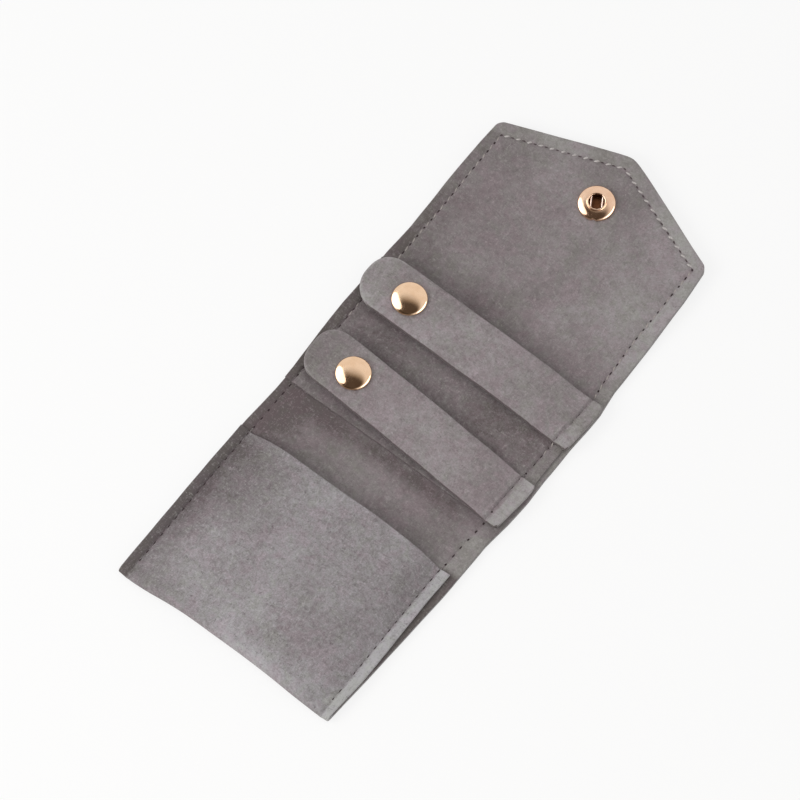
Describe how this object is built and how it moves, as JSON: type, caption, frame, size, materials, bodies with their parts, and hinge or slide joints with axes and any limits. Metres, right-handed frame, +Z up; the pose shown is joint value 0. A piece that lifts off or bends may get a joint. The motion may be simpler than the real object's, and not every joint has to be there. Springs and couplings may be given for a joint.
{
  "type": "jewelry organizer pouch",
  "caption": "Suede tri-fold jewelry pouch lying open: pointed snap flap, snap straps for rings and earrings, and a puffed pocket folded up from the bottom edge.",
  "frame": {"origin": "on the table plane, under the middle of the open pouch's bounding box", "axes": "+X towards the side where the straps are sewn in, +Y towards the flap's point, +Z up, out of the inner side"},
  "size_m": [0.0766, 0.185, 0.0088],
  "materials": {
    "suede": "matte napped microsuede",
    "thread": "matte",
    "rose_gold": "polished",
    "spring_wire": "bright"
  },
  "bodies": {
    "back": {"back_shell": "suede", "back_lining": "suede", "strap_panel": "suede", "earring_strap_sewn_end": "suede", "ring_strap_sewn_end": "suede", "earring_snap_stud": "rose_gold", "earring_snap_post": "rose_gold", "ring_snap_stud": "rose_gold", "ring_snap_post": "rose_gold", "back_left_seam_thread": "thread", "back_right_seam_thread": "thread"},
    "flap": {"flap_shell": "suede", "flap_lining": "suede", "flap_snap_cap": "rose_gold", "flap_snap_socket": "rose_gold", "flap_snap_spring": "spring_wire", "flap_seam_thread": "thread"},
    "pocket": {"pocket_shell": "suede", "pocket_lining": "suede", "pocket_front": "suede", "pocket_snap_stud": "rose_gold", "pocket_snap_post": "rose_gold", "pocket_left_seam_thread": "thread", "pocket_right_seam_thread": "thread"},
    "earring_strap": {"earring_strap": "suede", "earring_snap_cap": "rose_gold", "earring_snap_socket": "rose_gold", "earring_snap_spring": "spring_wire"},
    "ring_strap": {"ring_strap": "suede", "ring_snap_cap": "rose_gold", "ring_snap_socket": "rose_gold", "ring_snap_spring": "spring_wire"}
  },
  "joints": [
    {"name": "flap_fold", "type": "hinge", "parent": "back", "child": "flap", "pos_m": [0, 0.03435, 0.0104], "axis": [1, 0, 0], "range_deg": [0, 180], "deforming": ["flap_snap_spring"]},
    {"name": "pocket_fold", "type": "hinge", "parent": "back", "child": "pocket", "pos_m": [0, -0.02805, 0.00827], "axis": [-1, 0, 0], "range_deg": [0, 180]},
    {"name": "earring_strap_hinge", "type": "hinge", "parent": "back", "child": "earring_strap", "pos_m": [0.0316, 0.01965, 0.00475], "axis": [0, 1, 0], "range_deg": [0, 180], "deforming": ["earring_snap_spring"]},
    {"name": "ring_strap_hinge", "type": "hinge", "parent": "back", "child": "ring_strap", "pos_m": [0.0316, -0.01064, 0.00475], "axis": [0, 1, 0], "range_deg": [0, 180], "deforming": ["ring_snap_spring"]}
  ]
}
